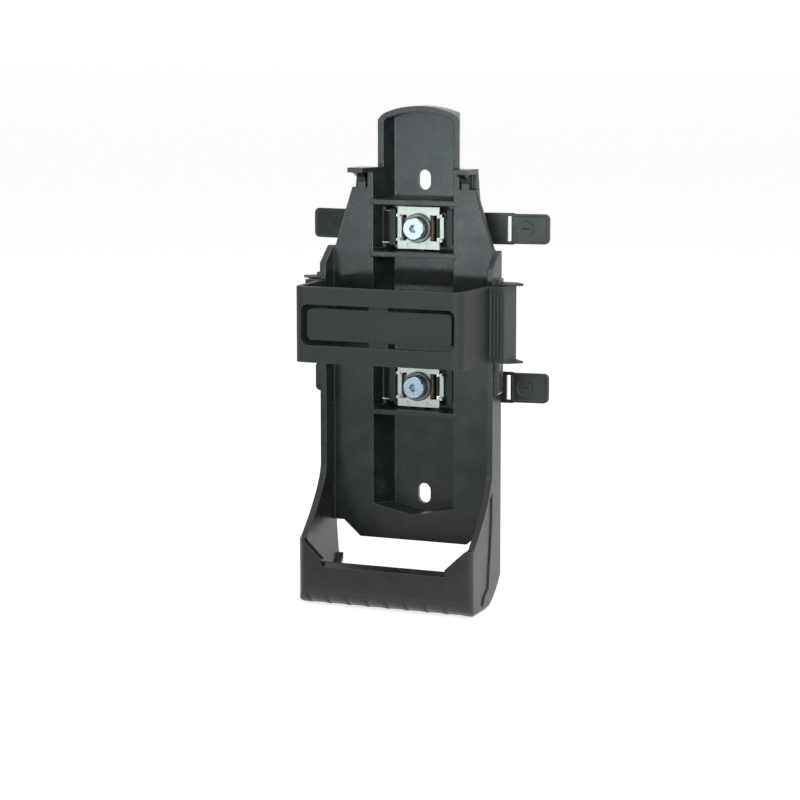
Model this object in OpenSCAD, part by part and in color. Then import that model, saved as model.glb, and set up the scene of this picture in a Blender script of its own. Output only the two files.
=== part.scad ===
// Bike lock bracket: a moulded holder with a basket foot, a sliding collar and two strap clamps.
// The mounting slots' middle, on the back face of the spine, is the origin. Front is -Y, up is +Z.
// Inside each module the depths are counted from the front face of the legs.

/* [Mounting] */
// Distance between the centres of the two mounting slots
slot_spacing = 128; // [120:1:134]
// Width of a mounting slot
slot_w = 5.6; // [5.2:0.1:6.6]
// Length of a mounting slot, end to end
slot_len = 8.2; // [7:0.1:12]
// Height of the upper clamp above the middle of the slots
clamp_z = 45; // [43:0.5:47]
// Distance between the two clamps
clamp_spacing = 64; // [62:0.5:68]

/* [Spine] */
// Depth of the spine's channel behind the face of the legs
channel_depth = 12.1; // [11.8:0.1:14]
// Thickness of the channel's floor
floor_t = 2.2; // [1.8:0.1:3]
// Width of the channel at its floor
channel_floor_w = 25.8; // [25:0.2:28]
// Width of the channel at the face of the legs
channel_mouth_w = 34.8; // [33:0.2:37]
// Thickness of the channel's side walls
spine_wall = 2.4; // [2:0.1:3]
// Height of the upper trough's rim above the floor
rim_h = 6.3; // [4:0.1:8]
// Height of the whole holder
holder_h = 198.4; // [196:0.2:206]
// Top of the spine's arch above the middle of the slots
spine_top_z = 93.7; // [88:0.1:100]
// Rise of the arch above its shoulders
arch_rise = 2.8; // [1:0.1:5]
// Width between the arch's shoulders
shoulder_w = 29.2; // [24:0.2:31]
// Height of the slanted corners below the shoulders
shoulder_h = 5.6; // [2:0.1:8]
// Thickness of the wall round the upper end
arch_wall = 2.4; // [1.6:0.1:3.2]
// Slope of the upper end wall, from its rim to the floor
arch_slope = 2.6; // [1:0.1:4]
// Lower end of the channel at its sides
channel_end_z = -66.8; // [-72:0.1:-62]
// Drop of the channel's lower end at its middle
channel_end_drop = 4.2; // [1:0.1:6]
// Height of the two lips that cradle a frame tube behind the spine
cradle_h = 1.8; // [1:0.1:3]

/* [Legs and plate] */
// Thickness of the legs and the plate
plate_t = 2.2; // [1.8:0.1:2.6]
// Top of the legs
leg_top_z = 61.2; // [58:0.1:64]
// Width across the legs at their top
leg_top_w = 53.4; // [50:0.2:58]
// Height at which the legs reach the side walls
leg_foot_z = 37.6; // [34:0.1:42]
// Lower edge of the plate above the basket's lowest point
plate_bottom_h = 23.3; // [20:0.1:26]
// Width of the plate's straight lower edge
plate_bottom_w = 46.4; // [40:0.2:54]
// Width between the tops of the plate's slanted lower corners
plate_corner_w = 61; // [56:0.2:66]
// Height of those slanted corners
plate_corner_h = 6.4; // [3:0.1:9]

/* [Hooks] */
// Distance from the middle to the outer end of a hook
hook_out = 25.9; // [25:0.1:28]
// Reach of the hooks in front of the legs
hook_reach = 5.9; // [4:0.1:8]
// Thickness of a hook's top plate
hook_t = 1.9; // [1.4:0.1:2.6]
// Top of the hooks
hook_top_z = 69.2; // [67:0.1:72]
// Width of a hook's stem
hook_stem_w = 3.2; // [2:0.1:4.5]
// Distance from the middle to the centre of a stem
hook_stem_x = 22.3; // [21.5:0.1:23.5]
// Reach of the brace under a hook in front of the legs
hook_stem_reach = 1.2; // [0.5:0.1:3]

/* [Side walls] */
// Width of the holder over its side walls
holder_w = 74.5; // [72:0.5:80]
// Thickness of a side wall
wall_t = 2.6; // [2.2:0.1:3.2]
// Height of a side wall in front of the legs
wall_h = 7.9; // [7:0.1:9]
// Top of a side wall at its back edge
wall_top_z = 37.4; // [35:0.1:40]
// Height of the slanted top corner of a side wall
wall_slant_h = 6.5; // [3:0.1:9]
// Height at which a side wall starts to widen towards the basket
flare_top_z = -51; // [-56:0.5:-46]
// Distance that a guide rail stands out of its side wall
rail_out = 2; // [1.4:0.1:2.2]
// Width of a guide rail
rail_w = 4.9; // [4:0.1:5.6]
// Front edge of a guide rail behind the front edge of its wall
rail_inset = 1.5; // [1:0.1:2]
// Upper end of the guide rails
rail_top_z = 27; // [26:0.1:29]
// Length of the guide rails
rail_len = 46.4; // [44:0.1:50]

/* [Basket] */
// Depth of the basket in front of the legs
basket_depth = 32; // [28:0.5:38]
// Thickness of the basket's front bar
bar_t = 3.2; // [2.6:0.1:4]
// Height of the front bar at its back edge
bar_h = 18.2; // [15:0.1:19.5]
// Fall of the bar's slanted top towards the front
bar_bevel = 1.5; // [0.8:0.1:1.8]
// Width of the bar's straight top edge
bar_flat_w = 50.2; // [44:0.2:56]
// Height of the basket's front corners
basket_corner_h = 27.1; // [24:0.1:30]
// Height of the bottom's back edge above its lowest point
bottom_rise = 10.2; // [6:0.1:13]
// Thickness of the basket's bottom
bottom_t = 2.4; // [2:0.1:3.2]
// Radius of the basket's upright corners
basket_corner_r = 4.5; // [3:0.1:6]
// Radius of the basket's lower front edge
basket_edge_r = 9; // [7:0.1:10]
// Radius of the basket's lower side corners, seen from the front
basket_foot_r = 2.8; // [2.6:0.1:5]
// Distance from one grip facet to the next
grip_pitch = 8.4; // [7:0.1:9]
// Depth of a grip facet's step
grip_depth = 0.6; // [0.4:0.1:1]
// Depth of the recess on each side of the basket
recess_depth = 0.6; // [0.4:0.1:0.9]

/* [Collar] */
// Depth of the collar in front of the legs
collar_depth = 37; // [33:0.5:42]
// Width of the collar's front
collar_w = 71; // [69:0.5:73]
// Height of the collar
collar_h = 29.8; // [26:0.1:32]
// Lower edge of the collar
collar_z = -5.6; // [-6:0.1:-4]
// Thickness of the collar's walls
collar_t = 2.4; // [2:0.1:2.8]
// Radius of the collar's front corners
collar_corner_r = 4; // [3:0.1:6]
// Distance that each side spreads outwards towards the back
collar_splay = 1.4; // [0.8:0.1:2]
// Width of the ears over the collar's back
ear_w = 85.6; // [84:0.2:88]
// Running gap between the ears and the side walls
ear_gap = 0.35; // [0.3:0.05:0.5]
// Thickness of the ears' clips
ear_t = 1.5; // [1.2:0.1:1.8]
// Number of grip ribs on each ear
ear_ribs = 4; // [2:1:5]
// Distance that a fin's tip stands out of its ear
fin_out = 4.5; // [3:0.1:6]
// Thickness of a fin
fin_t = 0.8; // [0.6:0.1:1.2]
// Width of the sprung tongue's frame opening
tongue_open_w = 64.9; // [60:0.2:66]
// Height of the sprung tongue's frame opening
tongue_open_h = 16.2; // [14:0.1:18]
// Slit between the tongue and its frame
tongue_slit = 1.95; // [1.4:0.05:2.2]
// Width of the bridges that carry the tongue
tongue_bridge_w = 8; // [6:0.2:12]

/* [Clamps] */
// Height of the window that a clamp works in
window_h = 18.9; // [18.4:0.1:19.6]
// Thickness of the shelves above and below a window
shelf_t = 2; // [1.6:0.1:2.6]
// Width of the clamp plate's cross bars
cross_bar_w = 18.1; // [17.6:0.1:18.6]
// Height of the clamp plate
plate_h = 17; // [16:0.1:17.6]
// Thickness of the clamp plate's sheet
sheet_t = 1.2; // [1:0.1:1.3]
// Width of the clamp plate's waist
waist_w = 10.2; // [9.8:0.1:11]
// Height of the clamp plate's cross bars
cross_bar_h = 3.3; // [2.8:0.1:3.6]
// Width of the clamp plate's side bars
side_bar_w = 1.7; // [1.5:0.1:1.9]
// Distance from the middle to the centre of a side bar
side_bar_x = 9.15; // [9:0.05:9.3]
// Height of a side bar
side_bar_h = 8.6; // [8.4:0.1:9]
// Distance that the side bars are set back
side_bar_back = 2.3; // [2:0.1:2.4]
// Depth of the clamp plate's front face behind the legs' face
plate_depth = 5.8; // [5.6:0.1:6]
// Diameter of the cup washer
washer_d = 11.8; // [11.2:0.1:13]
// Height of the cup washer
washer_h = 2; // [1.6:0.1:2.4]
// Diameter of the screw's shank
screw_d = 5; // [4.9:0.1:5]
// Diameter of the screw's head
head_d = 9; // [8.4:0.1:9.2]
// Height of the screw's head
head_h = 5; // [4.6:0.1:5.2]
// Length of the screw below its head
screw_len = 8.2; // [7.8:0.1:8.6]
// Width across the flats of the screw's socket
socket_af = 3; // [2.9:0.1:4.1]
// Width of the trunnion nut
nut_w = 12; // [11.6:0.1:12.2]
// Depth of the trunnion nut
nut_t = 4.4; // [4:0.1:4.6]
// Diameter of the nut's two pins
nut_pin_d = 3.6; // [3.2:0.1:4]

/* [Straps] */
// Height of a strap's band
band_h = 12.6; // [12:0.1:13]
// Thickness of a strap's band
band_t = 1.5; // [1.3:0.1:1.6]
// Distance from the middle to a strap's outer end
band_out = 51.2; // [49:0.1:56]
// Distance from the middle to the centre of a strap's slot
band_slot_x = 35; // [34:0.1:37]
// Width of a strap's slot
band_slot_w = 1.8; // [1.4:0.1:2.2]
// Height of a strap's slot
band_slot_h = 10.1; // [9:0.1:10.6]
// Height of a strap's inner bar
inner_bar_h = 14.6; // [14:0.1:15]
// Width of a strap's inner bar
inner_bar_w = 2.4; // [2.2:0.1:2.5]
// Diameter of the round mark on a strap's tab
tab_mark_d = 6.4; // [5:0.1:8]

/* [Hidden] */
$fn = 48;
// Overrun of the cuts
over = 1;
// Smallest working gap between neighbours
gap = 0.3;
// Depth at which neighbouring features run into each other
bite = 0.6;
// Bevel that breaks a sharp corner
edge = 0.5;
face_to_mount = channel_depth + floor_t;
lower_clamp_z = clamp_z - clamp_spacing;
half_holder = holder_w / 2;
rim_y = channel_depth - rim_h;
basket_bottom_z = spine_top_z - holder_h;
plate_bottom_z = basket_bottom_z + plate_bottom_h;
bar_top_z = basket_bottom_z + bar_h;
basket_corner_z = basket_bottom_z + basket_corner_h;
slot_z = slot_spacing / 2;

// Arch: width of its slanted shoulders, how they bow, and the size of its inner corners
arch_slant_w = 6.4;
bow_shares = [0.7, 0.22];
arch_corner = 1.8;
// Hooks: thickness and setting of the wall behind a hook's stem
hook_web_t = 1.8;
hook_web_y = 3.6;
// Clamp windows: side openings for the straps, and the opening in the floor for the nut
side_window_h = band_h + 2 * gap;
side_window_y = 6.4;
side_pocket_h = 16.4;
side_pocket_depth = 0.9;
shelf_lip = 0.8;
shelf_proud = 0.3;
leg_chamfer = 0.7;
shelf_z = window_h / 2;
ledge_t = 0.8;
// Gussets between the spine and the back of the plate
gusset_reach = 8;
gusset_t = 1.6;
cradle_w = 3.6;
// Shape of the basket's bottom and of the flare above it, as powers of the distance along them
bottom_shares = 2.6;
flare_shares = 1.5;
curve_steps = 10;
// Grip facets: their number, the run of their steps, and the angle below the front at which they start
grips = 8;
grip_step = 0.9;
grip_angle = 14;
// Back edge of the basket's floor behind the face of the legs
floor_end_y = -3;
// Inward slope of the basket's inner sides below its corners
side_slope = 1.7;
// Recesses in the basket's sides: inset from the front edges, top, back edge and foot
recess_inset = 0.8;
recess_top_z = -57;
recess_back_top = [-7.6, -69];
recess_back_foot = [-11.3, -96];
recess_heel = [-15, -98];
recess_toe = [-18, -102.4];
// Collar: its ears, the stretch of the rails that their ribs run on, their grip grooves and fins
rail_shares = [0.3, 0.7];
half_collar = collar_w / 2;
half_ear = ear_w / 2;
collar_top_z = collar_z + collar_h;
ear_front_t = 2.2;
ear_front_y = -wall_h - ear_gap - ear_front_t;
ear_back_y = plate_t + ear_gap;
ear_lip = 1.4;
groove_depth = 0.55;
groove_margin = 2.5;
fin_front_y = -6;
fin_tip_y = -1.5;
tongue_recess = 2;
tongue_t = 2.2;
tongue_r = 3;
// Clamps: screw, washer and nut
screw_bore_r = screw_d / 2 + 0.25 * gap;
plate_hole_r = screw_d / 2 + gap;
washer_wall = 0.8;
washer_floor = 0.8;
head_bevel = 0.35;
socket_depth = 2.6;
nut_y = 10.5;
nut_h = 12.6;
nut_belly = 0.4;
nut_belly_h = 5.8;
nut_pin_len = 1.2;
floor_window_w = nut_w + 2 * nut_belly + 4 * gap;
floor_window_h = nut_h + 4 * gap;
dimple_d = 1.6;
dimple_depth = 0.4;
dimple_x = 4.2;
// Straps: hook round the clamp plate's side bar, and the band's course outwards
strap_hook_h = 7.8;
strap_hook_t = 1.3;
strap_lip_t = 0.8;
strap_lip_reach = 0.8;
inner_bar_gap = 1.2;
band_turn_x = 15.8;
band_turn_y = 10.2;
band_bend = [[17.3, 10.9], [18.9, 12.4], [21.4, 14], [26, 15.5]];
band_slot_y = 16.8;
band_end_y = 18.8;
tab_h = 12;
tab_r = 2;
tab_mark_x = 41.7;
tab_mark_depth = 0.45;
tab_rim = 0.9;
tab_dish = 0.25;
tab_cut = [3.6, 0.5];

plastic = "#3a3c3e";
zinc = "#c9ccd0";
olive = "#6d6a4c";

// Half width of the channel at a depth behind the legs' face
function channel_half(y) =
    channel_floor_w / 2 + (channel_mouth_w - channel_floor_w) / 2 * (channel_depth - y) / channel_depth;

// Points of an arc
function arc(x, y, r, from, to, steps = 8) =
    [for (i = [0:steps]) let (a = from + (to - from) * i / steps) [x + r * cos(a), y + r * sin(a)]];

// Mirror image of an outline's points, in reverse order
function mirrored(points) = [for (i = [len(points) - 1:-1:0]) [-points[i][0], points[i][1]]];

// Places a module's depths, counted from the legs' face, in the mount's frame
module from_face() {
    translate([0, -face_to_mount, 0])
        children();
}

// Extrudes an outline drawn as width and height from one depth to another
module front_view(y_from, y_to) {
    translate([0, y_to, 0])
        rotate([90, 0, 0])
            linear_extrude(y_to - y_from)
                children();
}

// Extrudes an outline drawn as depth and height between two places along the width
module side_view(x_from, x_to) {
    translate([x_from, 0, 0])
        rotate([90, 0, 90])
            linear_extrude(x_to - x_from)
                children();
}

// Extrudes an outline drawn as width and depth between two heights
module plan_view(z_from, z_to) {
    translate([0, 0, z_from])
        linear_extrude(z_to - z_from)
            children();
}

// Both sides of a symmetrical feature
module both_sides() {
    children();
    mirror([1, 0, 0])
        children();
}

// Outline of the spine's arched upper end, seen from the front, down to a level below it
module arch_outline(half_w, rise, top_z, low_z, slant_w, slant_h) {
    r = (half_w * half_w + rise * rise) / (2 * rise);
    spread = asin(half_w / r);
    crown = arc(0, top_z - r, r, 90, 90 - spread);
    from = [half_w, top_z - rise];
    to = [half_w + slant_w, top_z - rise - slant_h];
    bow = [half_w + bow_shares[0] * slant_w, top_z - rise - bow_shares[1] * slant_h];
    shoulder = [for (i = [1:curve_steps / 2])
        let (t = 2 * i / curve_steps) from * (1 - t) * (1 - t) + 2 * bow * t * (1 - t) + to * t * t];
    right = concat(crown, shoulder, [[half_w + slant_w, low_z]]);
    polygon(concat(right, mirrored(right)));
}

// Section of the channel, grown on its sides, from a front depth to a back depth
module channel_section(grow, front_y, back_y) {
    front = channel_half(front_y) + grow;
    back = channel_half(back_y) + grow;
    polygon([[-front, front_y], [front, front_y], [back, back_y], [-back, back_y]]);
}

// Pointed lower end of the channel, seen from the front
module channel_front(z_top, grow) {
    half = channel_half(-wall_h);
    polygon([[-half, z_top], [-half, channel_end_z - grow], [0, channel_end_z - channel_end_drop - grow],
        [half, channel_end_z - grow], [half, z_top]]);
}

// Outside of the spine: a deep channel up to the hooks, and a shallower trough with an arched end above them
module spine_outside() {
    intersection() {
        plan_view(channel_end_z - channel_end_drop - 2 * spine_wall, hook_top_z)
            channel_section(spine_wall, 0, face_to_mount);
        front_view(-over, face_to_mount + over)
            channel_front(hook_top_z + over, spine_wall);
    }
    intersection() {
        plan_view(leg_top_z, spine_top_z + over)
            channel_section(spine_wall, rim_y, face_to_mount);
        front_view(-over, face_to_mount + over)
            arch_outline(shoulder_w / 2, arch_rise, spine_top_z, leg_top_z, arch_slant_w, 2 * shoulder_h);
    }
}

// Inside of the channel and the trough, whose upper end wall leans back from the rim
module spine_inside() {
    inner_top_z = spine_top_z - arch_wall;
    inner_half = channel_half(rim_y) - arch_corner;
    lean = atan(arch_slope / rim_h);
    intersection() {
        plan_view(channel_end_z - channel_end_drop - over, inner_top_z + over)
            channel_section(0, -wall_h, channel_depth);
        union() {
            front_view(-wall_h, channel_depth)
                channel_front(inner_top_z - 2 * shoulder_h, 0);
            translate([0, rim_y, inner_top_z])
                rotate([lean, 0, 0])
                    front_view(-2 * channel_depth, 2 * channel_depth)
                        arch_outline(inner_half, arch_rise - edge, 0, -3 * shoulder_h, arch_corner,
                            arch_corner);
        }
    }
}

// The legs and the plate below them, one flat wall with slanted corners
module legs_and_plate() {
    side_x = half_holder - wall_t + bite;
    right = [[plate_bottom_w / 2, plate_bottom_z], [plate_corner_w / 2, plate_bottom_z + plate_corner_h],
        [side_x, plate_bottom_z + plate_corner_h], [side_x, leg_foot_z - edge],
        [half_holder - wall_t - edge, leg_foot_z], [leg_top_w / 2, leg_top_z]];
    front_view(0, plate_t)
        polygon(concat(right, mirrored(right)));
}

// Hooks beside the upper trough: a top plate on a stem that runs up from the leg, with a wall behind it
module hooks() {
    inner = channel_half(-hook_reach);
    under = hook_top_z - hook_t;
    web_foot_z = leg_top_z - plate_t - hook_web_t;
    both_sides() {
        plan_view(under, hook_top_z)
            polygon([[inner, -hook_reach], [hook_out, -hook_reach], [hook_out, hook_web_y + hook_web_t],
                [channel_half(rim_y) + spine_wall, rim_y], [channel_half(rim_y), rim_y]]);
        front_view(hook_web_y, hook_web_y + hook_web_t)
            polygon([[channel_half(hook_web_y), web_foot_z], [leg_top_w / 2, web_foot_z],
                [hook_out, under + edge], [channel_half(hook_web_y), under + edge]]);
        plan_view(web_foot_z, leg_top_z - plate_t)
            polygon([[channel_half(0), plate_t - edge], [leg_top_w / 2, plate_t - edge],
                [leg_top_w / 2, hook_web_y + edge], [channel_half(hook_web_y), hook_web_y + edge]]);
        side_view(hook_stem_x - hook_stem_w / 2, hook_stem_x + hook_stem_w / 2)
            polygon([[0, leg_top_z - edge], [hook_web_y + edge, leg_top_z - edge],
                [hook_web_y + edge, under + edge], [-hook_reach + edge, under + edge],
                [-hook_reach + edge, under], [-hook_stem_reach, under - hook_t], [0, under - 2 * hook_t]]);
    }
}

// Height of the basket's underside at a depth
function bottom_at(y) = basket_bottom_z + bottom_rise
    * pow(max(0, (y + basket_depth - basket_edge_r) / (basket_depth - basket_edge_r)), bottom_shares);

// Points along the front edge of a side wall where it widens towards the basket
flare_edge = [for (i = [0:curve_steps])
    [-wall_h - (basket_depth - wall_h - basket_corner_r) * pow(i / curve_steps, flare_shares),
        flare_top_z + (basket_corner_z - flare_top_z) * i / curve_steps]];

// Block that the walls and the basket are hollowed from, shrunk all round by a wall for its inside
module basket_block(side, front, bottom, back_y, top_z) {
    corner_r = max(basket_corner_r - side, edge);
    foot_r = max(basket_foot_r - bottom, edge);
    half = half_holder - side;
    y_front = -basket_depth + front;
    r = max(basket_edge_r - front, edge);
    y_low = y_front + r;
    z_low = basket_bottom_z + bottom;
    corner = arc(half - corner_r, y_front + corner_r, corner_r, -90, 0);
    slope = side > 0 ? side_slope : 0;
    foot = concat(arc(half - slope - foot_r, z_low + foot_r, foot_r, -90, 0), [[half, basket_corner_z],
        [half, top_z + over]]);
    plan = concat(corner, [[half, back_y - edge], [half - edge, back_y]]);
    underside = [for (i = [0:curve_steps])
        let (y = y_low + (back_y - y_low) * i / curve_steps) [y, bottom_at(y) + bottom]];
    intersection() {
        plan_view(basket_bottom_z - over, top_z)
            polygon(concat(plan, mirrored(plan)));
        front_view(-basket_depth - over, back_y + over)
            polygon(concat(foot, mirrored(foot)));
        side_view(-half_holder, half_holder)
            polygon(concat(arc(y_low, z_low + r, r, 180, 270), underside,
                [[back_y, top_z], [y_front, top_z]]));
    }
}

// Side walls, front bar and bottom of the basket, open at the back between the plate and the bottom
module walls_and_basket() {
    intersection() {
        difference() {
            basket_block(0, 0, 0, plate_t, wall_top_z);
            basket_block(wall_t, bar_t, bottom_t, plate_t + over, wall_top_z + over);
            front_view(-basket_depth - over, -basket_depth + bar_t + over)
                bar_cut();
            side_view(-bar_flat_w / 2 - bar_bevel, bar_flat_w / 2 + bar_bevel)
                polygon([[-basket_depth - over, bar_top_z + over],
                    [-basket_depth - over, bar_top_z - bar_bevel - edge],
                    [-basket_depth + bar_t, bar_top_z], [-basket_depth + bar_t, bar_top_z + over]]);
            side_view(-half_holder + wall_t + basket_foot_r, half_holder - wall_t - side_slope - basket_foot_r)
                polygon([[floor_end_y, basket_bottom_z - over], [plate_t + over, basket_bottom_z - over],
                    [plate_t + over, basket_corner_z], [floor_end_y, basket_corner_z]]);
        }
        side_view(-half_holder, half_holder)
            polygon(concat([[plate_t, wall_top_z], [0, wall_top_z], [-wall_h, wall_top_z - wall_slant_h]],
                flare_edge, [[-basket_depth - over, basket_corner_z],
                    [-basket_depth - over, basket_bottom_z - over], [plate_t, basket_bottom_z - over]]));
    }
}

// Opening above the front bar, with slanted ends
module bar_cut() {
    corner_x = half_holder - wall_t + edge;
    right = [[bar_flat_w / 2, bar_top_z], [corner_x, basket_corner_z + edge], [corner_x, 0]];
    polygon(concat(right, mirrored(right)));
}

// Rail on the outside of a side wall, with its lower end rounded off
module guide_rail() {
    foot_z = rail_top_z - rail_len;
    y_front = -wall_h + rail_inset;
    front_view(y_front, y_front + rail_w)
        polygon(concat([[half_holder - bite, rail_top_z], [half_holder - bite, foot_z]],
            arc(half_holder, foot_z + rail_out, rail_out, -90, 0, 5),
            [[half_holder + rail_out, rail_top_z]]));
}

// Shallow recess in the outside of the basket
module side_recess() {
    top = [for (p = flare_edge) if (p[1] < recess_top_z) [p[0] + recess_inset, p[1] - recess_inset]];
    front_y = -basket_depth + basket_corner_r + recess_inset;
    side_view(half_holder - recess_depth, half_holder + over)
        polygon(concat([[recess_back_top[0], recess_top_z - recess_inset]], top,
            [[front_y, basket_corner_z - 2 * recess_inset], [front_y, recess_back_foot[1]],
            recess_toe, recess_heel, recess_back_foot, recess_back_top]));
}

// Shelves above and below a clamp's window, with the ledge that joins the upper one to the floor
module shelves(z) {
    for (low_z = [z - shelf_z - shelf_t, z + shelf_z])
        plan_view(low_z, low_z + shelf_t) {
            channel_section(bite, 0, channel_depth + bite);
            channel_section(shelf_lip, -shelf_proud, bite);
        }
    plan_view(z + shelf_z + shelf_t, z + shelf_z + shelf_t + ledge_t)
        channel_section(bite, channel_depth - ledge_t, channel_depth + bite);
}

// Openings of one clamp: through both side walls, through the floor, and the seats of the nut's pins
module clamp_openings(z) {
    half = channel_half(0) + spine_wall + over;
    pocket_y = side_window_y + edge;
    pocket_front = channel_half(edge) + side_pocket_depth;
    pocket_back = channel_half(pocket_y) + side_pocket_depth;
    translate([-half, side_window_y, z - side_window_h / 2])
        cube([2 * half, channel_depth - side_window_y, side_window_h]);
    plan_view(z - side_pocket_h / 2, z + side_pocket_h / 2)
        polygon([[-pocket_front, edge], [pocket_front, edge],
            [pocket_back, pocket_y], [-pocket_back, pocket_y]]);
    translate([-floor_window_w / 2, channel_depth - over, z - floor_window_h / 2])
        cube([floor_window_w, floor_t + 2 * over, floor_window_h]);
    translate([0, nut_y, z - shelf_z - nut_pin_len - gap / 2])
        cylinder(d = nut_pin_d + gap / 2, h = 2 * (shelf_z + nut_pin_len) + gap);
}

// Gussets that stiffen the plate beside the windows, and the lips that cradle the frame tube
module back_ribs() {
    gusset_z = side_window_h / 2 + gusset_t / 2;
    back_x = channel_half(face_to_mount) + spine_wall;
    both_sides() {
        for (z = [clamp_z, lower_clamp_z])
            for (side = [-1, 1])
                plan_view(z + side * gusset_z - gusset_t / 2, z + side * gusset_z + gusset_t / 2)
                    polygon([[channel_half(0), plate_t - edge],
                        [channel_half(0) + gusset_reach, plate_t - edge],
                        [channel_half(0) + gusset_reach, plate_t + edge],
                        [channel_half(channel_depth) + spine_wall, channel_depth],
                        [channel_half(channel_depth), channel_depth]]);
        plan_view(channel_end_z, spine_top_z - arch_rise - shoulder_h)
            polygon([[back_x - cradle_w, face_to_mount - bite], [back_x - edge, face_to_mount - bite],
                [back_x - edge, face_to_mount + cradle_h - edge],
                [back_x - 2 * edge, face_to_mount + cradle_h]]);
    }
}

// Long hole for a mounting screw, upright, through the channel's floor
module mounting_slot(z) {
    straight = slot_len - slot_w;
    for (side = [-1, 1])
        translate([0, channel_depth - over, z + side * straight / 2])
            rotate([-90, 0, 0])
                cylinder(d = slot_w, h = floor_t + 2 * over);
    translate([-slot_w / 2, channel_depth - over, z - straight / 2])
        cube([slot_w, floor_t + 2 * over, straight]);
}

// Chamfer along the front of a leg's outer edge
module leg_edge_cut() {
    run = [half_holder - wall_t - edge - leg_top_w / 2, leg_top_z - leg_foot_z];
    translate([leg_top_w / 2, 0, leg_top_z])
        rotate([0, 180 - atan(run[0] / run[1]), 0])
            translate([0, 0, -over])
                linear_extrude(norm(run) + over)
                    polygon([[leg_chamfer, -over], [-over, -over], [-over, leg_chamfer], [0, leg_chamfer],
                        [leg_chamfer, 0]]);
}

// Facets round the basket's lower front edge, each a shallow wedge with a short step at its left
module grip_facets() {
    r = basket_edge_r;
    z = basket_bottom_z + r;
    intersection() {
        side_view(-half_holder, half_holder)
            polygon([[-basket_depth - over, basket_bottom_z - over],
                [-basket_depth + r, basket_bottom_z - over],
                [-basket_depth + r, z - r * sin(grip_angle)],
                [-basket_depth - over, z - r * sin(grip_angle)]]);
        for (i = [0:grips - 1])
            translate([(i - grips / 2) * grip_pitch, -basket_depth + r, z])
                rotate([0, 90, 0])
                    rotate_extrude()
                        polygon([[r, 0], [r - grip_depth, grip_step], [r, grip_pitch], [r + over, grip_pitch],
                            [r + over, 0]]);
    }
}

module holder_body() {
    color(plastic)
        from_face()
            difference() {
                union() {
                    difference() {
                        union() {
                            spine_outside();
                            legs_and_plate();
                            back_ribs();
                        }
                        spine_inside();
                    }
                    hooks();
                    walls_and_basket();
                    both_sides()
                        guide_rail();
                    shelves(clamp_z);
                    shelves(lower_clamp_z);
                }
                clamp_openings(clamp_z);
                clamp_openings(lower_clamp_z);
                mounting_slot(slot_z);
                mounting_slot(-slot_z);
                both_sides() {
                    leg_edge_cut();
                    side_recess();
                }
                grip_facets();
            }
}

// Outline of the collar from above: a wide U whose ends clip round the holder's side walls
module collar_plan() {
    back_half = half_collar + collar_splay;
    corner = arc(half_collar - collar_corner_r, -collar_depth + collar_corner_r, collar_corner_r, -90, 0);
    inner_r = collar_corner_r - collar_t;
    inner_corner = arc(half_collar - collar_corner_r, -collar_depth + collar_corner_r, inner_r, 0, -90);
    rail_x = half_holder + rail_out + ear_gap;
    inner_x = half_ear - ear_t;
    back_y = ear_back_y + ear_t;
    outer = concat(corner, [[back_half, ear_front_y], [half_ear - edge, ear_front_y],
        [half_ear, ear_front_y + edge], [half_ear, back_y - edge], [half_ear - edge, back_y],
        [half_holder - ear_lip, back_y], [half_holder - ear_lip, ear_back_y], [inner_x, ear_back_y],
        [inner_x, rail_back_y()], [rail_x, rail_back_y()],
        [rail_x, rail_front_y()], [inner_x, rail_front_y()],
        [inner_x, -wall_h - ear_gap], [back_half - collar_t, -wall_h - ear_gap],
        [back_half - collar_t, ear_front_y]]);
    polygon(concat(outer, inner_corner, mirrored(concat(outer, inner_corner))));
}

// Depths of the rib inside an ear that runs along the rail
function rail_front_y() = -wall_h + rail_inset + rail_w * rail_shares[0];
function rail_back_y() = -wall_h + rail_inset + rail_w * rail_shares[1];

// Rounded rectangle, seen from the front
module rounded_rect(w, h, r) {
    square([w - 2 * r, h], center = true);
    square([w, h - 2 * r], center = true);
    for (x = [-1, 1])
        for (z = [-1, 1])
            translate([x * (w / 2 - r), z * (h / 2 - r)])
                circle(r);
}

module collar() {
    mid_z = collar_z + collar_h / 2;
    groove_w = (half_ear - half_collar - collar_splay) / (2 * ear_ribs);
    rail_x = half_holder + rail_out + ear_gap;
    rail_end_y = -wall_h + rail_inset + rail_w + ear_gap;
    color(plastic)
        from_face() {
            difference() {
                plan_view(collar_z, collar_top_z)
                    collar_plan();
                translate([0, 0, mid_z])
                    front_view(-collar_depth - over, -collar_depth + collar_t + over)
                        rounded_rect(tongue_open_w, tongue_open_h, tongue_r);
                both_sides()
                    for (i = [0:ear_ribs - 1])
                        translate([half_collar + collar_splay + (2 * i + 0.5) * groove_w, ear_front_y - over,
                            collar_z + groove_margin])
                            cube([groove_w, groove_depth + over, collar_h - 2 * groove_margin]);
            }
            translate([0, 0, mid_z])
                front_view(-collar_depth + tongue_recess, -collar_depth + tongue_recess + tongue_t)
                    rounded_rect(tongue_open_w - 2 * tongue_slit, tongue_open_h - 2 * tongue_slit,
                        tongue_r - tongue_slit / 2);
            translate([-tongue_bridge_w / 2, -collar_depth + tongue_recess, mid_z - tongue_open_h / 2 - edge])
                cube([tongue_bridge_w, collar_t - tongue_recess, tongue_open_h + 2 * edge]);
            both_sides()
                for (z = [collar_z - fin_t, collar_top_z])
                    plan_view(z, z + fin_t)
                        polygon([[rail_x, fin_front_y], [half_ear, fin_front_y],
                            [half_ear + fin_out, fin_tip_y], [half_ear + fin_out, fin_tip_y + fin_t],
                            [half_ear, ear_back_y + ear_t], [half_holder + ear_gap, ear_back_y + ear_t],
                            [half_holder + ear_gap, rail_end_y], [rail_x, rail_end_y]]);
        }
}

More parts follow.
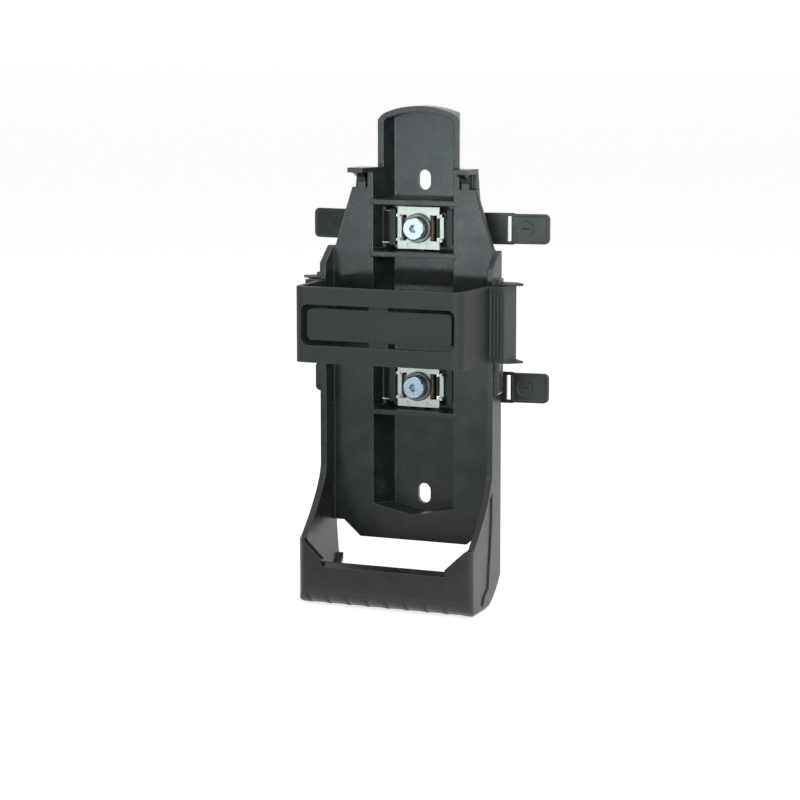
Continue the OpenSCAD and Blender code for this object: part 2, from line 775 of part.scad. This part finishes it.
// Pressed steel plate: two cross bars on a waist, and side bars set back for the straps
module clamp_plate(z) {
    waist = waist_w / 2;
    bar = cross_bar_w / 2;
    bar_z = plate_h / 2 - cross_bar_h;
    right = [[waist, -bar_z], [bar, -bar_z], [bar, -plate_h / 2]];
    upper = [[bar, plate_h / 2], [bar, bar_z], [waist, bar_z]];
    side_z = side_bar_h / 2 + sheet_t;
    color(zinc)
        from_face()
            translate([0, 0, z])
                difference() {
                    union() {
                        front_view(plate_depth, plate_depth + sheet_t)
                            polygon(concat(upper, right, mirrored(concat(upper, right))));
                        both_sides() {
                            translate([side_bar_x - side_bar_w / 2, plate_depth + side_bar_back, -side_z])
                                cube([side_bar_w, sheet_t, 2 * side_z]);
                            for (side = [-1, 1])
                                translate([side_bar_x - side_bar_w / 2, plate_depth + sheet_t / 2,
                                    side * (side_z - sheet_t / 2) - sheet_t / 2])
                                    cube([side_bar_w, side_bar_back + sheet_t / 2, sheet_t]);
                        }
                    }
                    translate([0, plate_depth - over, 0])
                        rotate([-90, 0, 0])
                            cylinder(r = plate_hole_r, h = sheet_t + 2 * over);
                    for (x = [-1, 1])
                        translate([x * dimple_x, plate_depth - over, -plate_h / 2 + cross_bar_h / 2])
                            rotate([-90, 0, 0])
                                cylinder(d = dimple_d, h = dimple_depth + over);
                }
}

// Turned washer with a raised rim round the screw's head
module cup_washer(z) {
    r = washer_d / 2;
    color(zinc)
        from_face()
            translate([0, plate_depth, z])
                rotate([90, 0, 0])
                    rotate_extrude()
                        polygon([[plate_hole_r, 0], [r, 0],
                            [r, washer_h - edge / 2], [r - edge / 2, washer_h],
                            [r - washer_wall, washer_h], [r - washer_wall, washer_floor],
                            [plate_hole_r, washer_floor]]);
}

// Socket head cap screw that draws the plate towards the nut
module cap_screw(z) {
    r = head_d / 2;
    seat_y = plate_depth - washer_floor;
    color(zinc)
        from_face()
            translate([0, seat_y, z])
                rotate([90, 0, 0])
                    difference() {
                        rotate_extrude()
                            polygon([[0, -screw_len], [screw_d / 2 - head_bevel, -screw_len],
                                [screw_d / 2, -screw_len + head_bevel], [screw_d / 2, 0], [r, 0],
                                [r, head_h - head_bevel], [r - head_bevel, head_h], [0, head_h]]);
                        translate([0, 0, head_h - socket_depth])
                            cylinder(d = socket_af / cos(30), h = socket_depth + over, $fn = 6);
                    }
}

// Bar with round sides, seen from above
module round_bar(w, t) {
    square([w - t, t], center = true);
    for (side = [-1, 1])
        translate([side * (w - t) / 2, 0])
            circle(d = t);
}

// Nut that the screw turns in, held by a pin at each end in the shelves
module trunnion_nut(z) {
    color(olive)
        from_face()
            translate([0, nut_y, z])
                difference() {
                    union() {
                        plan_view(-nut_h / 2, nut_h / 2)
                            round_bar(nut_w, nut_t);
                        plan_view(-nut_belly_h / 2, nut_belly_h / 2)
                            round_bar(nut_w + 2 * nut_belly, nut_t + nut_belly);
                        plan_view(-shelf_z - nut_pin_len, shelf_z + nut_pin_len)
                            circle(d = nut_pin_d);
                    }
                    translate([0, -nut_t, 0])
                        rotate([-90, 0, 0])
                            cylinder(r = screw_bore_r, h = 2 * nut_t);
                }
}

// Points beside a course of points, at a distance to its left, with mitred corners
function beside(course, d) = [for (i = [0:len(course) - 1])
    let (before = course[max(i, 1)] - course[max(i, 1) - 1],
        after = course[min(i + 1, len(course) - 1)] - course[min(i, len(course) - 2)],
        mid = before / norm(before) + after / norm(after),
        across = [-mid[1], mid[0]] / (1 + before * after / norm(before) / norm(after)))
    course[i] + across * d];

// Outline from above of a band along a course of points
module band_plan(course, t) {
    left = beside(course, t / 2);
    right = beside(course, -t / 2);
    polygon(concat(left, [for (i = [len(right) - 1:-1:0]) right[i]]));
}

// Strap end: a hook behind the clamp plate's side bar, an upright bar, and a band that leaves the spine
module strap(z) {
    bar_inner_x = side_bar_x + side_bar_w / 2 + inner_bar_gap;
    bar_back_y = plate_depth + side_bar_back + sheet_t + gap;
    lip_x = side_bar_x - side_bar_w / 2 - gap - strap_lip_t;
    lip_y = plate_depth + side_bar_back - strap_lip_reach;
    bar_x = bar_inner_x + inner_bar_w / 2;
    course = concat([[bar_x, band_turn_y], [band_turn_x, band_turn_y]], band_bend,
        [[band_slot_x, band_slot_y], [band_out + over, band_end_y]]);
    dish_w = band_out - band_slot_x - band_slot_w / 2 - 2 * tab_rim;
    slope = atan((band_end_y - band_slot_y) / (band_out + over - band_slot_x));
    color(plastic)
        from_face()
            translate([0, 0, z]) {
                plan_view(-strap_hook_h / 2, strap_hook_h / 2)
                    polygon([[lip_x, lip_y], [lip_x + strap_lip_t, lip_y], [lip_x + strap_lip_t, bar_back_y],
                        [bar_x, bar_back_y], [bar_x, bar_back_y + strap_hook_t],
                        [lip_x, bar_back_y + strap_hook_t]]);
                plan_view(-inner_bar_h / 2, inner_bar_h / 2)
                    polygon([[bar_inner_x, bar_back_y - inner_bar_gap],
                        [bar_inner_x + inner_bar_w, bar_back_y - inner_bar_gap],
                        [bar_inner_x + inner_bar_w - edge, bar_back_y + edge / 2],
                        [bar_inner_x, bar_back_y + edge / 2]]);
                difference() {
                    intersection() {
                        plan_view(-band_h / 2, band_h / 2)
                            band_plan(course, band_t);
                        front_view(0, 2 * face_to_mount) {
                            translate([0, -tab_h / 2])
                                square([band_out - tab_r, tab_h]);
                            translate([0, -tab_h / 2 + tab_r])
                                square([band_out, tab_h - 2 * tab_r]);
                            translate([0, -band_h / 2])
                                square([band_slot_x + band_slot_w, band_h]);
                            for (side = [-1, 1])
                                translate([band_out - tab_r, side * (tab_h / 2 - tab_r)])
                                    circle(tab_r);
                        }
                    }
                    translate([band_slot_x - band_slot_w / 2, 0, -band_slot_h / 2])
                        cube([band_slot_w, 2 * face_to_mount, band_slot_h]);
                    translate([band_slot_x, band_slot_y, 0])
                        rotate([0, 0, slope]) {
                            translate([0, -band_t / 2 - over, 0])
                                rotate([-90, 0, 0])
                                    translate([tab_mark_x - band_slot_x, 0, 0]) {
                                        cylinder(d = tab_mark_d, h = over + tab_mark_depth);
                                        translate([-tab_cut[0] / 2, -tab_cut[1] / 2, 0])
                                            cube([tab_cut[0], tab_cut[1], over + 2 * tab_mark_depth]);
                                    }
                            translate([band_slot_w / 2 + tab_rim, -band_t / 2 - over, -tab_h / 2 + tab_rim])
                                cube([dish_w, over + tab_dish, tab_h - 2 * tab_rim]);
                        }
                }
            }
}

holder_body();
collar();
clamp_plate(clamp_z);  // upper_clamp_plate
cup_washer(clamp_z);  // upper_cup_washer
cap_screw(clamp_z);  // upper_screw
trunnion_nut(clamp_z);  // upper_trunnion_nut
mirror([1, 0, 0]) strap(clamp_z);  // upper_left_strap
strap(clamp_z);  // upper_right_strap
clamp_plate(lower_clamp_z);  // lower_clamp_plate
cup_washer(lower_clamp_z);  // lower_cup_washer
cap_screw(lower_clamp_z);  // lower_screw
trunnion_nut(lower_clamp_z);  // lower_trunnion_nut
mirror([1, 0, 0]) strap(lower_clamp_z);  // lower_left_strap
strap(lower_clamp_z);  // lower_right_strap
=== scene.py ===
from math import cos, radians, tau

import bmesh
import bpy
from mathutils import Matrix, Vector


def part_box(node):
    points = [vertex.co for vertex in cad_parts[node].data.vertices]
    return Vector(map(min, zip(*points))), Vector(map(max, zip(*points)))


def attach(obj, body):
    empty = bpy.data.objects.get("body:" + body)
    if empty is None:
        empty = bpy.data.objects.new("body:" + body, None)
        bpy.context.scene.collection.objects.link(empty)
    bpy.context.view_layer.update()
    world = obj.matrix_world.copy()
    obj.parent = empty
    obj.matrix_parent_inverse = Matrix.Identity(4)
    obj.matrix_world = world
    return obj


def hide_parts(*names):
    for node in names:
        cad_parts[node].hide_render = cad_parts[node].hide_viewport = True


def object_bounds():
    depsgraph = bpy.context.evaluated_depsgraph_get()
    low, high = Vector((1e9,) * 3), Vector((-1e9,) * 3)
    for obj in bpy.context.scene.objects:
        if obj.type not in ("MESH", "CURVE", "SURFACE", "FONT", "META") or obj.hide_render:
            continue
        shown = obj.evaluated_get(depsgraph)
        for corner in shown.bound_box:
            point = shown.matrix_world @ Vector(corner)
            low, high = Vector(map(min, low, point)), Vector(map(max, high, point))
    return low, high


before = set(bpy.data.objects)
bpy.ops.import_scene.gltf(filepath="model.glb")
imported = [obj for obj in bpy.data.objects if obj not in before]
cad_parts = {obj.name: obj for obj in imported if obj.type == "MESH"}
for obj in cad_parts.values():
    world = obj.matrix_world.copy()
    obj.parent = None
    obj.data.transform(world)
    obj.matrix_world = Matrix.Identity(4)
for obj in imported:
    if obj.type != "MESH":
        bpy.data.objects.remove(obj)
solids_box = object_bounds()


# Holder: one injection moulding of black, glass-filled nylon. Spine, legs, hooks, side walls and basket come
# out of one tool, whose edges have a small radius and whose faces are spark-eroded to a satin grain. It is
# screwed to the frame through its two slots, and carries all the rest.
SAME_FACE = cos(radians(0.5))
SAME_ROUND = cos(radians(32))
# Cosine between an edge's rounded normal and its face, where the pale edge (wear and painted highlight)
# starts and where it is full
EDGE_MARK_STARTS = 0.985
EDGE_MARK_FULL = 0.85
# How much of the pale dust colour is painted on an edge, as rubbed wear and as a painted highlight
EDGE_WEAR_AND_HIGHLIGHT = 0.35
# Pale colour of dust, which also paints the highlight along the edges
DUST_AND_HIGHLIGHT_COLOUR = "#8b9090"


def linear(colour):
    """A sRGB hex colour as linear RGBA."""
    parts = [int(colour[i:i + 2], 16) / 255 for i in (1, 3, 5)]
    return [p / 12.92 if p <= 0.04045 else ((p + 0.055) / 1.055) ** 2.4 for p in parts] + [1.0]


def add(tree, kind, sockets=None, **settings):
    """Adds a node with its settings, and links or fills its inputs."""
    made = tree.nodes.new(kind)
    for key, value in settings.items():
        setattr(made, key, value)
    for key, value in (sockets or {}).items():
        if isinstance(value, bpy.types.NodeSocket):
            tree.links.new(value, made.inputs[key])
        else:
            made.inputs[key].default_value = value
    return made


def shader(name, **sockets):
    """A node material with its Principled shader, whose named sockets take the numbers given."""
    material = bpy.data.materials.new(name)
    material.use_nodes = True
    tree = material.node_tree
    surface = tree.nodes["Principled BSDF"]
    for key, value in sockets.items():
        surface.inputs[key.replace("_", " ")].default_value = value
    return material, tree, surface


def rounded_edge_and_mark(tree, radius):
    """The rounded normal of the edges, and a mask that is 1 on them and 0 on the faces."""
    rounded = add(tree, "ShaderNodeBevel", {"Radius": radius}, samples=6)
    flat = add(tree, "ShaderNodeNewGeometry")
    along = add(tree, "ShaderNodeVectorMath", {0: rounded.outputs["Normal"], 1: flat.outputs["Normal"]},
                operation="DOT_PRODUCT")
    mask = add(tree, "ShaderNodeMapRange", {"Value": along.outputs["Value"], "From Min": EDGE_MARK_STARTS,
                                            "From Max": EDGE_MARK_FULL})
    return rounded.outputs["Normal"], mask.outputs["Result"]


def moulded_nylon(name, colour, pale, dust, grain_mm, rough, radius):
    """Nylon from a spark-eroded mould: satin, uneven in tone, with dust on its faces and pale edges of wear
    and painted highlight.
    """
    material, tree, surface = shader(name, IOR=1.53)
    place = add(tree, "ShaderNodeTexCoord").outputs["Object"]
    # Flow of the resin: tone changes over 30 mm
    flow = add(tree, "ShaderNodeTexNoise", {"Vector": place, "Scale": 33.0, "Detail": 3.0, "Roughness": 0.55})
    tone = add(tree, "ShaderNodeMix", {"Factor": flow.outputs["Fac"], "A": linear(colour), "B": linear(pale)},
               data_type="RGBA")
    # Dust and handling marks: clouds about 8 mm across, which gather specks of 0.7 mm
    cloud = add(tree, "ShaderNodeTexNoise", {"Vector": place, "Scale": 125.0, "Detail": 2.0})
    speck = add(tree, "ShaderNodeTexNoise", {"Vector": place, "Scale": 1400.0, "Detail": 3.0,
                                             "Roughness": 0.7})
    gathered = add(tree, "ShaderNodeMath", {0: cloud.outputs["Fac"], 1: speck.outputs["Fac"]},
                   operation="MULTIPLY")
    dusty = add(tree, "ShaderNodeMapRange", {"Value": gathered.outputs[0], "From Min": 0.12, "From Max": 0.5,
                                             "To Max": dust})
    # Pale edges, as wide as the edge radius: rubbed wear and a painted highlight
    normal, edge = rounded_edge_and_mark(tree, radius)
    edge_wear_and_highlight = add(tree, "ShaderNodeMath", {0: edge, 1: EDGE_WEAR_AND_HIGHLIGHT}, operation="MULTIPLY")
    dust_and_edge_highlight = add(tree, "ShaderNodeMath", {0: dusty.outputs["Result"], 1: edge_wear_and_highlight.outputs[0]},
                operation="MAXIMUM")
    # Dust on the faces, and pale wear with a painted highlight on the edges
    skin = add(tree, "ShaderNodeMix", {"Factor": dust_and_edge_highlight.outputs[0], "A": tone.outputs["Result"],
                                       "B": linear(DUST_AND_HIGHLIGHT_COLOUR)}, data_type="RGBA")
    tree.links.new(skin.outputs["Result"], surface.inputs["Base Color"])
    # Erosion grain: real grains are 0.1 mm, drawn at the size given so that they show
    grain = add(tree, "ShaderNodeTexNoise", {"Vector": place, "Scale": 1000.0 / grain_mm, "Detail": 2.0})
    bump = add(tree, "ShaderNodeBump", {"Height": grain.outputs["Fac"], "Strength": 0.03, "Distance": 0.0001,
                                        "Normal": normal})
    tree.links.new(bump.outputs["Normal"], surface.inputs["Normal"])
    gloss = add(tree, "ShaderNodeMapRange", {"Value": cloud.outputs["Fac"], "From Min": 0.3, "From Max": 0.7,
                                             "To Min": rough - 0.04, "To Max": rough + 0.05})
    tree.links.new(gloss.outputs["Result"], surface.inputs["Roughness"])
    return material


def even_normals(form):
    """Corner normals that keep large flat faces flat, and turn the narrow rounds beside them to meet them."""
    form.normal_update()
    flat_area = {}
    for start in form.faces:
        if start in flat_area:
            continue
        flat, waiting = {start}, [start]
        while waiting:
            for edge in waiting.pop().edges:
                for other in edge.link_faces:
                    if other not in flat and other.normal.dot(start.normal) > SAME_FACE:
                        flat.add(other)
                        waiting.append(other)
        flat_area.update(dict.fromkeys(flat, sum(face.calc_area() for face in flat)))
    normals = []
    for face in form.faces:
        for corner in face.loops:
            total = Vector()
            for other in corner.vert.link_loops:
                if other.face.normal.dot(face.normal) > SAME_ROUND:
                    total += other.face.normal * flat_area[other.face] * other.calc_angle()
            normals.append(total.normalized())
    return normals


def dressed(node, name, body, material):
    """A copy of a CAD node with smooth rounds and crisp edges, which stands for that node."""
    form = bmesh.new()
    form.from_mesh(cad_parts[node].data)
    bmesh.ops.remove_doubles(form, verts=form.verts, dist=1e-6)
    corner_normals = even_normals(form)
    mesh = bpy.data.meshes.new(name)
    form.to_mesh(mesh)
    form.free()
    mesh.shade_smooth()
    mesh.normals_split_custom_set(corner_normals)
    mesh.materials.append(material)
    piece = bpy.data.objects.new(name, mesh)
    bpy.context.scene.collection.objects.link(piece)
    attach(piece, body)
    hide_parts(node)
    return piece


holder_nylon = moulded_nylon("holder_glass_filled_nylon", "#16191a", "#1f2324", dust=0.085, grain_mm=0.5,
                             rough=0.27, radius=0.0005)
dressed("holder_body", "holder", "holder", holder_nylon)

# Collar: a second moulding of the same nylon, clipped over the side walls so that it slides on their rails.
# The tongue in its front is held by two narrow bridges, and springs against the lock.
collar_nylon = moulded_nylon("collar_glass_filled_nylon", "#17191a", "#1d2021", dust=0.07, grain_mm=0.5,
                             rough=0.55, radius=0.0005)
dressed("collar", "sliding_collar", "collar", collar_nylon)


# Trunnion nuts: turned and milled steel blocks with an olive chromate, held between the shelves by their
# pins. The chromate has a thin iridescence, so its tone drifts between brown and green.
METAL_EDGE = 0.00012


def plated_steel(name, dark, light, patch_mm, rough, spread):
    """Steel with a plated or chromated skin, whose tone and polish differ from patch to patch."""
    material, tree, surface = shader(name, Metallic=1.0)
    place = add(tree, "ShaderNodeTexCoord").outputs["Object"]
    patch = add(tree, "ShaderNodeTexNoise", {"Vector": place, "Scale": 1000.0 / patch_mm, "Detail": 3.0})
    tone = add(tree, "ShaderNodeMix", {"Factor": patch.outputs["Fac"], "A": linear(dark), "B": linear(light)},
               data_type="RGBA")
    tree.links.new(tone.outputs["Result"], surface.inputs["Base Color"])
    dull = add(tree, "ShaderNodeMapRange", {"Value": patch.outputs["Fac"], "To Min": rough - spread,
                                            "To Max": rough + spread})
    tree.links.new(dull.outputs["Result"], surface.inputs["Roughness"])
    normal = rounded_edge_and_mark(tree, METAL_EDGE)[0]
    bump = add(tree, "ShaderNodeBump", {"Height": patch.outputs["Fac"], "Strength": 0.15, "Distance": 0.0001,
                                        "Normal": normal})
    tree.links.new(bump.outputs["Normal"], surface.inputs["Normal"])
    return material


olive_chromate = plated_steel("olive_chromated_steel", "#4b463b", "#726b5b", patch_mm=2.4, rough=0.42,
                              spread=0.06)
for level in ("upper", "lower"):
    dressed(level + "_trunnion_nut", level + "_nut", "holder", olive_chromate)

# Clamp plates: pressed from 1.2 mm sheet, with sheared edges and joggled side bars, then barrel plated in
# bright zinc. The deposit is finely crystalline, which breaks its reflections into pale patches.
plate_zinc = plated_steel("barrel_plated_zinc_sheet", "#adafac", "#dddfdb", patch_mm=1.1, rough=0.42,
                          spread=0.1)
for level in ("upper", "lower"):
    dressed(level + "_clamp_plate", level + "_plate", level + "_plate", plate_zinc)

# Cup washers: turned steel rings in the same zinc, whose rim stands round the screw's head. Their tone is
# painted darker and browner than the plates', as painted shade in the cup round the head.
washer_zinc_painted_dark = plated_steel("zinc_turning_painted_dark", "#5c5a57", "#8f8e8a", patch_mm=0.8, rough=0.30, spread=0.08)
for level in ("upper", "lower"):
    dressed(level + "_cup_washer", level + "_washer", level + "_plate", washer_zinc_painted_dark)

# Screws: M5 socket head cap screws in blue passivated zinc, smoother and bluer than the plates. The head's
# side is knurled so that fingers can start it, and the shank has a rolled right-hand thread.
KNURL_RIDGES = 44
RIDGE_SIZE = 0.00022
RIDGE_PROUD = 0.00008
RIDGE_LENGTH = 0.0034
RIDGE_START = 0.0010
THREAD_PITCH = 0.0008
THREAD_TURNS = 8
# The real thread is 0.49 mm deep. It is drawn 0.06 mm proud of the shank, because the nut's bore is smooth
THREAD_WIRE = 0.00012
THREAD_PROUD = 0.00006
SHANK_RADIUS = 0.0025
TIP_BEVEL = 0.00045


def builder(name, **inputs):
    """An empty Geometry Nodes tree with the named inputs, and the sockets that bring them in."""
    tree = bpy.data.node_groups.new(name, "GeometryNodeTree")
    for label, kind in inputs.items():
        tree.interface.new_socket(label, in_out="INPUT", socket_type="NodeSocket" + kind)
    tree.interface.new_socket("Geometry", in_out="OUTPUT", socket_type="NodeSocketGeometry")
    return tree, add(tree, "NodeGroupInput").outputs


def grown(name, tree, values, body):
    """The plain mesh that a Geometry Nodes tree makes of the values for its inputs, riding on a body."""
    piece = bpy.data.objects.new(name, bpy.data.meshes.new(name))
    bpy.context.scene.collection.objects.link(piece)
    modifier = piece.modifiers.new("build", "NODES")
    modifier.node_group = tree
    for socket in tree.interface.items_tree:
        if socket.name in values:
            modifier[socket.identifier] = values[socket.name]
    depsgraph = bpy.context.evaluated_depsgraph_get()
    mesh = bpy.data.meshes.new_from_object(piece.evaluated_get(depsgraph))
    piece.modifiers.remove(modifier)
    piece.data = mesh
    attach(piece, body)
    return piece


blue_zinc = plated_steel("blue_passivated_zinc", "#93a0b2", "#bcc8d2", patch_mm=1.6, rough=0.27, spread=0.05)

knurl, given = builder("straight_knurl", Ridges="Int", Radius="Float", Length="Float", Size="Float",
                       Place="Vector")
ring = add(knurl, "GeometryNodeMeshCircle", {"Vertices": given["Ridges"], "Radius": given["Radius"]})
ridge = add(knurl, "GeometryNodeMeshCylinder", {"Vertices": 4, "Radius": given["Size"],
                                                "Depth": given["Length"]})
step = add(knurl, "ShaderNodeMath", {0: tau, 1: given["Ridges"]}, operation="DIVIDE")
index = add(knurl, "GeometryNodeInputIndex")
turned = add(knurl, "ShaderNodeMath", {0: index.outputs[0], 1: step.outputs[0]}, operation="MULTIPLY")
spin = add(knurl, "ShaderNodeCombineXYZ", {"Z": turned.outputs[0]})
around = add(knurl, "GeometryNodeInstanceOnPoints", {"Points": ring.outputs[0], "Instance": ridge.outputs[0],
                                                     "Rotation": spin.outputs[0]})
real = add(knurl, "GeometryNodeRealizeInstances", {"Geometry": around.outputs[0]})
laid = add(knurl, "GeometryNodeTransform", {"Geometry": real.outputs[0], "Rotation": (radians(-90), 0, 0),
                                            "Translation": given["Place"]})
plated = add(knurl, "GeometryNodeSetMaterial", {"Geometry": laid.outputs[0], "Material": blue_zinc})
add(knurl, "NodeGroupOutput", {"Geometry": plated.outputs[0]})

thread, given = builder("rolled_thread", Turns="Float", Radius="Float", Length="Float", Wire="Float",
                        Place="Vector")
helix = add(thread, "GeometryNodeCurveSpiral", {"Resolution": 24, "Rotations": given["Turns"],
                                                "Start Radius": given["Radius"],
                                                "End Radius": given["Radius"],
                                                "Height": given["Length"], "Reverse": True})
crest = add(thread, "GeometryNodeCurvePrimitiveCircle", {"Resolution": 4, "Radius": given["Wire"]})
swept = add(thread, "GeometryNodeCurveToMesh", {"Curve": helix.outputs[0], "Profile Curve": crest.outputs[0],
                                                "Fill Caps": True})
real = add(thread, "GeometryNodeRealizeInstances", {"Geometry": swept.outputs[0]})
laid = add(thread, "GeometryNodeTransform", {"Geometry": real.outputs[0], "Rotation": (radians(-90), 0, 0),
                                             "Translation": given["Place"]})
plated = add(thread, "GeometryNodeSetMaterial", {"Geometry": laid.outputs[0], "Material": blue_zinc})
add(thread, "NodeGroupOutput", {"Geometry": plated.outputs[0]})

for level in ("upper", "lower"):
    screw = level + "_screw"
    dressed(screw, level + "_cap_screw", screw, blue_zinc)
    low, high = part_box(screw)
    middle = (low + high) / 2
    head_radius = (high.x - low.x) / 2
    ridge_middle = low.y + RIDGE_START + RIDGE_LENGTH / 2
    grown(level + "_head_knurl", knurl, {
        "Ridges": KNURL_RIDGES, "Radius": head_radius + RIDGE_PROUD - RIDGE_SIZE, "Length": RIDGE_LENGTH,
        "Size": RIDGE_SIZE, "Place": (middle.x, ridge_middle, middle.z)}, screw)
    thread_length = THREAD_TURNS * THREAD_PITCH
    grown(level + "_rolled_thread", thread, {
        "Turns": float(THREAD_TURNS), "Radius": SHANK_RADIUS + THREAD_PROUD - THREAD_WIRE,
        "Length": thread_length, "Wire": THREAD_WIRE,
        "Place": (middle.x, high.y - TIP_BEVEL - thread_length, middle.z)}, screw)

# Straps: moulded from a softer, smoother black plastic so that the ends can bend round a tube. Each hooks
# behind a side bar of its clamp plate and leaves through the spine's side.
strap_plastic = moulded_nylon("strap_soft_polyamide", "#101213", "#141617", dust=0.03, grain_mm=0.6,
                              rough=0.40, radius=0.0004)
for level in ("upper", "lower"):
    for side in ("left", "right"):
        name = level + "_" + side + "_strap"
        dressed(name, name + "_end", name, strap_plastic)

# The set: a white sweep, a bank of light on it far in front, which the upright faces mirror, and two soft
# boxes, above and at the right, as for a catalogue picture. Mirrored, the sweep is bright behind the part
# only, and dark in front of it.
MIRROR_DARK_Y = -0.2
MIRROR_BRIGHT_Y = 0.0
# With the light that the sweep scatters, this makes it white, and the part's shadow stays on it
SWEEP_GLOW = 0.76
HALF_SWEEP = 12.0
SWEEP_GAP = 0.0002
TENT_LIGHT = 0.16
white, tree, surface = shader("white_sweep", Roughness=0.9)
surface.inputs["Base Color"].default_value = linear("#f0f0f0")
seen = add(tree, "ShaderNodeLightPath")
place = add(tree, "ShaderNodeTexCoord").outputs["Object"]
depth = add(tree, "ShaderNodeSeparateXYZ", {"Vector": place}).outputs["Y"]
mirrored = add(tree, "ShaderNodeMapRange", {"Value": depth, "From Min": MIRROR_DARK_Y,
                                                "From Max": MIRROR_BRIGHT_Y})
glossy = add(tree, "ShaderNodeMath", {0: seen.outputs["Is Glossy Ray"], 1: mirrored.outputs["Result"]},
             operation="MULTIPLY")
bare = add(tree, "ShaderNodeMath", {0: seen.outputs["Is Camera Ray"], 1: glossy.outputs[0]},
           operation="MAXIMUM")
glow = add(tree, "ShaderNodeMath", {0: bare.outputs[0], 1: SWEEP_GLOW}, operation="MULTIPLY")
surface.inputs["Emission Color"].default_value = linear("#ffffff")
tree.links.new(glow.outputs[0], surface.inputs["Emission Strength"])
floor_z = solids_box[0][2] - SWEEP_GAP
corners = [(x * HALF_SWEEP, y * HALF_SWEEP, floor_z) for x, y in ((-1, -1), (1, -1), (1, 1), (-1, 1))]
sweep_mesh = bpy.data.meshes.new("sweep")
sweep_mesh.from_pydata(corners, [], [(0, 1, 2, 3)])
sweep_mesh.materials.append(white)
sweep = bpy.data.objects.new("sweep", sweep_mesh)
bpy.context.scene.collection.objects.link(sweep)

world = bpy.data.worlds.new("tent")
bpy.context.scene.world = world
world.use_nodes = True
tree = world.node_tree
tree.nodes.clear()
seen = add(tree, "ShaderNodeLightPath")
bare = add(tree, "ShaderNodeMath", {0: seen.outputs["Is Camera Ray"], 1: seen.outputs["Is Glossy Ray"]},
           operation="MAXIMUM")
tent = add(tree, "ShaderNodeBackground", {"Color": linear("#ffffff"), "Strength": TENT_LIGHT})
backdrop = add(tree, "ShaderNodeBackground", {"Color": linear("#ffffff"), "Strength": 1.0})
mixed = add(tree, "ShaderNodeMixShader", {0: bare.outputs[0], 1: tent.outputs[0], 2: backdrop.outputs[0]})
add(tree, "ShaderNodeOutputWorld", {"Surface": mixed.outputs[0]})

AIM = Vector((0.0, -0.0143, -0.013))
BANK = Vector((0.15, -2.35, floor_z + 0.0005))
# Each lamp's name, place, aim, size in metres, power in watts and tint
for name, spot, aim, size, power, tint in (
        ("front_bank", BANK, BANK + Vector((0, 0, 1)), (1.8, 2.0), 200.0, "#ecffff"),
        ("top_box", Vector((0.0, 0.0, 1.1)), AIM, (0.6, 0.6), 2.8, "#ffffff"),
        ("right_box", Vector((0.7, -0.7, 0.5)), AIM, (0.5, 0.5), 4.4, "#ffffff")):
    lamp = bpy.data.lights.new(name, "AREA")
    lamp.shape = "RECTANGLE"
    lamp.size, lamp.size_y = size
    lamp.energy = power
    lamp.color = linear(tint)[:3]
    held = bpy.data.objects.new(name, lamp)
    held.location = spot
    held.rotation_euler = (aim - spot).to_track_quat("-Z", "Y").to_euler()
    bpy.context.scene.collection.objects.link(held)

# The camera's place, focal length and shift were fitted to the photograph's view
lens = bpy.data.cameras.new("camera")
lens.sensor_width = 36.0
lens.lens = 112.3
lens.shift_x = -0.0161
lens.shift_y = -0.0335
camera = bpy.data.objects.new("camera", lens)
camera.location = (0.3803, -0.9323, 0.1236)
camera.rotation_euler = (AIM - camera.location).to_track_quat("-Z", "Y").to_euler()
bpy.context.scene.collection.objects.link(camera)
bpy.context.scene.camera = camera
bpy.context.scene.view_settings.view_transform = "Standard"
